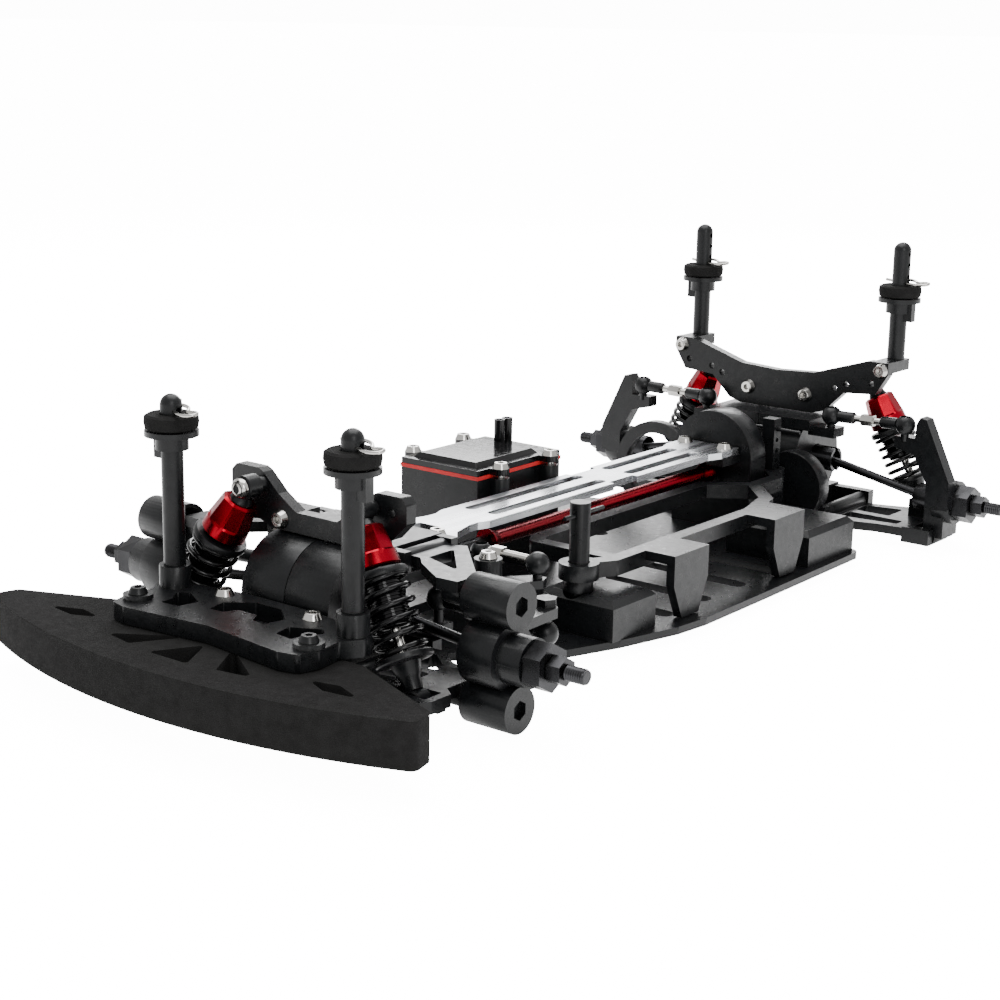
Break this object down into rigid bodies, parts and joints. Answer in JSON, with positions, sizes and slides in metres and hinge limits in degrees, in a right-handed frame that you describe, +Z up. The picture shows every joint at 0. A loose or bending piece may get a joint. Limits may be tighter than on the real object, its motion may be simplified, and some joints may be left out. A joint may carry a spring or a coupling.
{
  "type": "rc drift car chassis",
  "caption": "Shaft-driven four-wheel-drive radio-controlled drift car chassis with foam bumper, steering, sprung suspension and body posts",
  "frame": {"origin": "middle of the bounding box in X and Y, on the level of the lowest point", "axes": "+X is the car's left, -Y is the front, +Z is up"},
  "size_m": [0.1876, 0.349, 0.1093],
  "materials": {
    "black_plastic": "fibre-filled moulded plastic, satin",
    "black_foam": "closed-cell foam, matt",
    "red_aluminium": "red anodised",
    "silver_aluminium": "brushed sheet",
    "bright_steel": "polished",
    "dark_steel": "blackened",
    "black_spring_steel": "black paint"
  },
  "bodies": {
    "chassis": {"chassis_plate": "black_plastic", "top_deck": "silver_aluminium", "bumper_foam": "black_foam", "bumper_plate": "black_plastic", "body_posts": "black_plastic", "foam_washers": "black_foam", "front_gearbox": "black_plastic", "rear_gearbox": "black_plastic", "front_tower": "black_plastic", "rear_tower": "black_plastic", "motor_mount": "black_plastic", "receiver_box": "black_plastic", "receiver_lid": "black_plastic", "battery_mounts": "black_plastic", "fasteners": "bright_steel"},
    "bellcrank_left": {"bellcrank_left": "black_plastic"},
    "bellcrank_right": {"bellcrank_right": "black_plastic"},
    "steering_plate": {"steering_plate": "black_plastic"},
    "servo_link": {"servo_link": "black_plastic"},
    "tie_rod_left": {"tie_rod_left": "black_plastic"},
    "tie_rod_right": {"tie_rod_right": "black_plastic"},
    "front_diff": {"front_diff": "dark_steel"},
    "rear_diff": {"rear_diff": "dark_steel"},
    "battery_frame": {"battery_frame": "black_plastic"},
    "driveline": {"centre_shaft": "red_aluminium", "drive_gears": "dark_steel"},
    "front_lower_arm_left": {"front_lower_arm_left": "black_plastic"},
    "front_upper_arm_left": {"front_upper_arm_left": "black_plastic"},
    "pivot_seats_left": {"pivot_seats_left": "black_plastic"},
    "knuckle_left": {"knuckle_left": "black_plastic"},
    "front_axle_left": {"front_axle_left": "dark_steel"},
    "front_dogbone_left": {"front_dogbone_left": "dark_steel"},
    "front_shock_rod_left": {"front_shock_rod_left": "black_plastic"},
    "front_shock_body_left": {"front_shock_body_left": "red_aluminium", "front_spring_left": "black_spring_steel"},
    "rear_lower_arm_left": {"rear_lower_arm_left": "black_plastic"},
    "camber_link_left": {"camber_link_left": "black_plastic"},
    "rear_upright_left": {"rear_upright_left": "black_plastic"},
    "rear_axle_left": {"rear_axle_left": "dark_steel"},
    "rear_dogbone_left": {"rear_dogbone_left": "dark_steel"},
    "rear_shock_rod_left": {"rear_shock_rod_left": "black_plastic"},
    "rear_shock_body_left": {"rear_shock_body_left": "red_aluminium", "rear_spring_left": "black_spring_steel"},
    "front_lower_arm_right": {"front_lower_arm_right": "black_plastic"},
    "front_upper_arm_right": {"front_upper_arm_right": "black_plastic"},
    "pivot_seats_right": {"pivot_seats_right": "black_plastic"},
    "knuckle_right": {"knuckle_right": "black_plastic"},
    "front_axle_right": {"front_axle_right": "dark_steel"},
    "front_dogbone_right": {"front_dogbone_right": "dark_steel"},
    "front_shock_rod_right": {"front_shock_rod_right": "black_plastic"},
    "front_shock_body_right": {"front_shock_body_right": "red_aluminium", "front_spring_right": "black_spring_steel"},
    "rear_lower_arm_right": {"rear_lower_arm_right": "black_plastic"},
    "camber_link_right": {"camber_link_right": "black_plastic"},
    "rear_upright_right": {"rear_upright_right": "black_plastic"},
    "rear_axle_right": {"rear_axle_right": "dark_steel"},
    "rear_dogbone_right": {"rear_dogbone_right": "dark_steel"},
    "rear_shock_rod_right": {"rear_shock_rod_right": "black_plastic"},
    "rear_shock_body_right": {"rear_shock_body_right": "red_aluminium", "rear_spring_right": "black_spring_steel"}
  },
  "joints": [
    {"name": "steering", "type": "hinge", "parent": "chassis", "child": "bellcrank_left", "pos_m": [0.0278, -0.062, 0.0211], "axis": [0, 0, 1], "range_deg": [-22, 22]},
    {"name": "bellcrank_right_turn", "type": "hinge", "parent": "chassis", "child": "bellcrank_right", "pos_m": [-0.0278, -0.062, 0.0211], "axis": [0, 0, 1], "range_deg": [-22, 22]},
    {"name": "steering_plate_turn", "type": "hinge", "parent": "bellcrank_left", "child": "steering_plate", "pos_m": [0.0278, -0.039, 0.0211], "axis": [0, 0, 1], "range_deg": [-22, 22]},
    {"name": "servo_link_turn", "type": "hinge", "parent": "bellcrank_left", "child": "servo_link", "pos_m": [0.0368, -0.0495, 0.0297], "axis": [0, 0, 1], "range_deg": [-22, 22]},
    {"name": "drive_spin", "type": "hinge", "parent": "chassis", "child": "driveline", "pos_m": [0, 0.025, 0.0256], "axis": [0, 1, 0], "continuous": true},
    {"name": "front_diff_spin", "type": "hinge", "parent": "chassis", "child": "front_diff", "pos_m": [0, -0.103, 0.0256], "axis": [1, 0, 0], "continuous": true},
    {"name": "rear_diff_spin", "type": "hinge", "parent": "chassis", "child": "rear_diff", "pos_m": [0, 0.154, 0.0256], "axis": [1, 0, 0], "continuous": true},
    {"name": "battery_frame_lift", "type": "slide", "parent": "chassis", "child": "battery_frame", "axis": [0, 0, 1], "range_m": [0, 0.006]},
    {"name": "front_bump_left", "type": "hinge", "parent": "chassis", "child": "front_lower_arm_left", "pos_m": [0.024, -0.103, 0.0091], "axis": [0, -1, 0], "range_deg": [0, 12], "stiffness_Nm_per_rad": 1.6, "springref_deg": -14.32},
    {"name": "front_upper_arm_swing_left", "type": "hinge", "parent": "chassis", "child": "front_upper_arm_left", "pos_m": [0.024, -0.103, 0.0383], "axis": [0, -1, 0], "range_deg": [0, 12]},
    {"name": "pivot_seats_level_left", "type": "hinge", "parent": "front_lower_arm_left", "child": "pivot_seats_left", "pos_m": [0.063, -0.103, 0.0067], "axis": [0, -1, 0], "range_deg": [-12, 0]},
    {"name": "knuckle_steer_left", "type": "hinge", "parent": "pivot_seats_left", "child": "knuckle_left", "pos_m": [0.063, -0.103, 0.0211], "axis": [0, 0, 1], "range_deg": [-22, 22]},
    {"name": "front_axle_spin_left", "type": "hinge", "parent": "knuckle_left", "child": "front_axle_left", "pos_m": [0.08, -0.103, 0.0211], "axis": [1, 0, 0], "continuous": true},
    {"name": "tie_rod_swing_left", "type": "hinge", "parent": "steering_plate", "child": "tie_rod_left", "pos_m": [0.024, -0.08, 0.0235], "axis": [0, -1, 0], "range_deg": [0, 12]},
    {"name": "front_dogbone_swing_left", "type": "hinge", "parent": "chassis", "child": "front_dogbone_left", "pos_m": [0.022, -0.103, 0.0256], "axis": [0, -1, 0], "range_deg": [0, 11.57]},
    {"name": "front_shock_swing_left", "type": "hinge", "parent": "chassis", "child": "front_shock_body_left", "pos_m": [0.0216, -0.1115, 0.0551], "axis": [-0.2762, -0.9609, -0.0179], "range_deg": [0, 2.77]},
    {"name": "front_shock_stroke_left", "type": "slide", "parent": "front_shock_body_left", "child": "front_shock_rod_left", "axis": [-0.4995, 0.1276, 0.8568], "range_m": [0, 0.0046], "deforming": ["front_spring_left"]},
    {"name": "rear_bump_left", "type": "hinge", "parent": "chassis", "child": "rear_lower_arm_left", "pos_m": [0.029, 0.154, 0.0079], "axis": [0, -1, 0], "range_deg": [0, 11], "stiffness_Nm_per_rad": 1.6, "springref_deg": -14.32},
    {"name": "rear_upright_level_left", "type": "hinge", "parent": "rear_lower_arm_left", "child": "rear_upright_left", "pos_m": [0.0678, 0.154, 0.0039], "axis": [0, -1, 0], "range_deg": [-9.53, 0]},
    {"name": "camber_link_swing_left", "type": "hinge", "parent": "chassis", "child": "camber_link_left", "pos_m": [0.0275, 0.145, 0.0444], "axis": [0, -1, 0], "range_deg": [0, 13.77]},
    {"name": "rear_axle_spin_left", "type": "hinge", "parent": "rear_upright_left", "child": "rear_axle_left", "pos_m": [0.08, 0.154, 0.0171], "axis": [1, 0, 0], "continuous": true},
    {"name": "rear_dogbone_swing_left", "type": "hinge", "parent": "chassis", "child": "rear_dogbone_left", "pos_m": [0.022, 0.154, 0.0256], "axis": [0, -1, 0], "range_deg": [0, 9.91]},
    {"name": "rear_shock_swing_left", "type": "hinge", "parent": "chassis", "child": "rear_shock_body_left", "pos_m": [0.035, 0.162, 0.0551], "axis": [0.3342, -0.9406, 0.0589], "range_deg": [0, 2.02]},
    {"name": "rear_shock_stroke_left", "type": "slide", "parent": "rear_shock_body_left", "child": "rear_shock_rod_left", "axis": [-0.437, -0.0993, 0.8939], "range_m": [0, 0.00514], "deforming": ["rear_spring_left"]},
    {"name": "front_bump_right", "type": "hinge", "parent": "chassis", "child": "front_lower_arm_right", "pos_m": [-0.024, -0.103, 0.0091], "axis": [0, 1, 0], "range_deg": [0, 12], "stiffness_Nm_per_rad": 1.6, "springref_deg": -14.32},
    {"name": "front_upper_arm_swing_right", "type": "hinge", "parent": "chassis", "child": "front_upper_arm_right", "pos_m": [-0.024, -0.103, 0.0383], "axis": [0, 1, 0], "range_deg": [0, 12]},
    {"name": "pivot_seats_level_right", "type": "hinge", "parent": "front_lower_arm_right", "child": "pivot_seats_right", "pos_m": [-0.063, -0.103, 0.0067], "axis": [0, 1, 0], "range_deg": [-12, 0]},
    {"name": "knuckle_steer_right", "type": "hinge", "parent": "pivot_seats_right", "child": "knuckle_right", "pos_m": [-0.063, -0.103, 0.0211], "axis": [0, 0, 1], "range_deg": [-22, 22]},
    {"name": "front_axle_spin_right", "type": "hinge", "parent": "knuckle_right", "child": "front_axle_right", "pos_m": [-0.08, -0.103, 0.0211], "axis": [1, 0, 0], "continuous": true},
    {"name": "tie_rod_swing_right", "type": "hinge", "parent": "steering_plate", "child": "tie_rod_right", "pos_m": [-0.024, -0.08, 0.0235], "axis": [0, 1, 0], "range_deg": [0, 12]},
    {"name": "front_dogbone_swing_right", "type": "hinge", "parent": "chassis", "child": "front_dogbone_right", "pos_m": [-0.022, -0.103, 0.0256], "axis": [0, 1, 0], "range_deg": [0, 11.57]},
    {"name": "front_shock_swing_right", "type": "hinge", "parent": "chassis", "child": "front_shock_body_right", "pos_m": [-0.0216, -0.1115, 0.0551], "axis": [-0.2762, 0.9609, 0.0179], "range_deg": [0, 2.77]},
    {"name": "front_shock_stroke_right", "type": "slide", "parent": "front_shock_body_right", "child": "front_shock_rod_right", "axis": [0.4995, 0.1276, 0.8568], "range_m": [0, 0.0046], "deforming": ["front_spring_right"]},
    {"name": "rear_bump_right", "type": "hinge", "parent": "chassis", "child": "rear_lower_arm_right", "pos_m": [-0.029, 0.154, 0.0079], "axis": [0, 1, 0], "range_deg": [0, 11], "stiffness_Nm_per_rad": 1.6, "springref_deg": -14.32},
    {"name": "rear_upright_level_right", "type": "hinge", "parent": "rear_lower_arm_right", "child": "rear_upright_right", "pos_m": [-0.0678, 0.154, 0.0039], "axis": [0, 1, 0], "range_deg": [-9.53, 0]},
    {"name": "camber_link_swing_right", "type": "hinge", "parent": "chassis", "child": "camber_link_right", "pos_m": [-0.0275, 0.145, 0.0444], "axis": [0, 1, 0], "range_deg": [0, 13.77]},
    {"name": "rear_axle_spin_right", "type": "hinge", "parent": "rear_upright_right", "child": "rear_axle_right", "pos_m": [-0.08, 0.154, 0.0171], "axis": [1, 0, 0], "continuous": true},
    {"name": "rear_dogbone_swing_right", "type": "hinge", "parent": "chassis", "child": "rear_dogbone_right", "pos_m": [-0.022, 0.154, 0.0256], "axis": [0, 1, 0], "range_deg": [0, 9.91]},
    {"name": "rear_shock_swing_right", "type": "hinge", "parent": "chassis", "child": "rear_shock_body_right", "pos_m": [-0.035, 0.162, 0.0551], "axis": [0.3342, 0.9406, -0.0589], "range_deg": [0, 2.02]},
    {"name": "rear_shock_stroke_right", "type": "slide", "parent": "rear_shock_body_right", "child": "rear_shock_rod_right", "axis": [0.437, -0.0993, 0.8939], "range_m": [0, 0.00514], "deforming": ["rear_spring_right"]}
  ],
  "couplings": [
    {"joint": "bellcrank_right_turn", "follows": "steering", "ratio": 1},
    {"joint": "steering_plate_turn", "follows": "steering", "ratio": -1},
    {"joint": "servo_link_turn", "follows": "steering", "ratio": -1},
    {"joint": "front_diff_spin", "follows": "drive_spin", "ratio": 0.33333},
    {"joint": "rear_diff_spin", "follows": "drive_spin", "ratio": 0.33333},
    {"joint": "front_upper_arm_swing_left", "follows": "front_bump_left", "ratio": 1},
    {"joint": "pivot_seats_level_left", "follows": "front_bump_left", "ratio": -1},
    {"joint": "knuckle_steer_left", "follows": "steering", "ratio": 1},
    {"joint": "front_axle_spin_left", "follows": "drive_spin", "ratio": 0.33333},
    {"joint": "tie_rod_swing_left", "follows": "front_bump_left", "ratio": 1},
    {"joint": "front_dogbone_swing_left", "follows": "front_bump_left", "ratio": 0.96255},
    {"joint": "front_shock_swing_left", "follows": "front_bump_left", "ratio": 0.22915},
    {"joint": "front_shock_stroke_left", "follows": "front_bump_left", "m_per_rad": 0.021885},
    {"joint": "rear_upright_level_left", "follows": "rear_bump_left", "ratio": -0.86478},
    {"joint": "camber_link_swing_left", "follows": "rear_bump_left", "ratio": 1.2496},
    {"joint": "rear_axle_spin_left", "follows": "drive_spin", "ratio": 0.33333},
    {"joint": "rear_dogbone_swing_left", "follows": "rear_bump_left", "ratio": 0.89949},
    {"joint": "rear_shock_swing_left", "follows": "rear_bump_left", "ratio": 0.18154},
    {"joint": "rear_shock_stroke_left", "follows": "rear_bump_left", "m_per_rad": 0.026672},
    {"joint": "front_upper_arm_swing_right", "follows": "front_bump_right", "ratio": 1},
    {"joint": "pivot_seats_level_right", "follows": "front_bump_right", "ratio": -1},
    {"joint": "knuckle_steer_right", "follows": "steering", "ratio": 1},
    {"joint": "front_axle_spin_right", "follows": "drive_spin", "ratio": 0.33333},
    {"joint": "tie_rod_swing_right", "follows": "front_bump_right", "ratio": 1},
    {"joint": "front_dogbone_swing_right", "follows": "front_bump_right", "ratio": 0.96255},
    {"joint": "front_shock_swing_right", "follows": "front_bump_right", "ratio": 0.22915},
    {"joint": "front_shock_stroke_right", "follows": "front_bump_right", "m_per_rad": 0.021885},
    {"joint": "rear_upright_level_right", "follows": "rear_bump_right", "ratio": -0.86478},
    {"joint": "camber_link_swing_right", "follows": "rear_bump_right", "ratio": 1.2496},
    {"joint": "rear_axle_spin_right", "follows": "drive_spin", "ratio": 0.33333},
    {"joint": "rear_dogbone_swing_right", "follows": "rear_bump_right", "ratio": 0.89949},
    {"joint": "rear_shock_swing_right", "follows": "rear_bump_right", "ratio": 0.18154},
    {"joint": "rear_shock_stroke_right", "follows": "rear_bump_right", "m_per_rad": 0.026672}
  ]
}
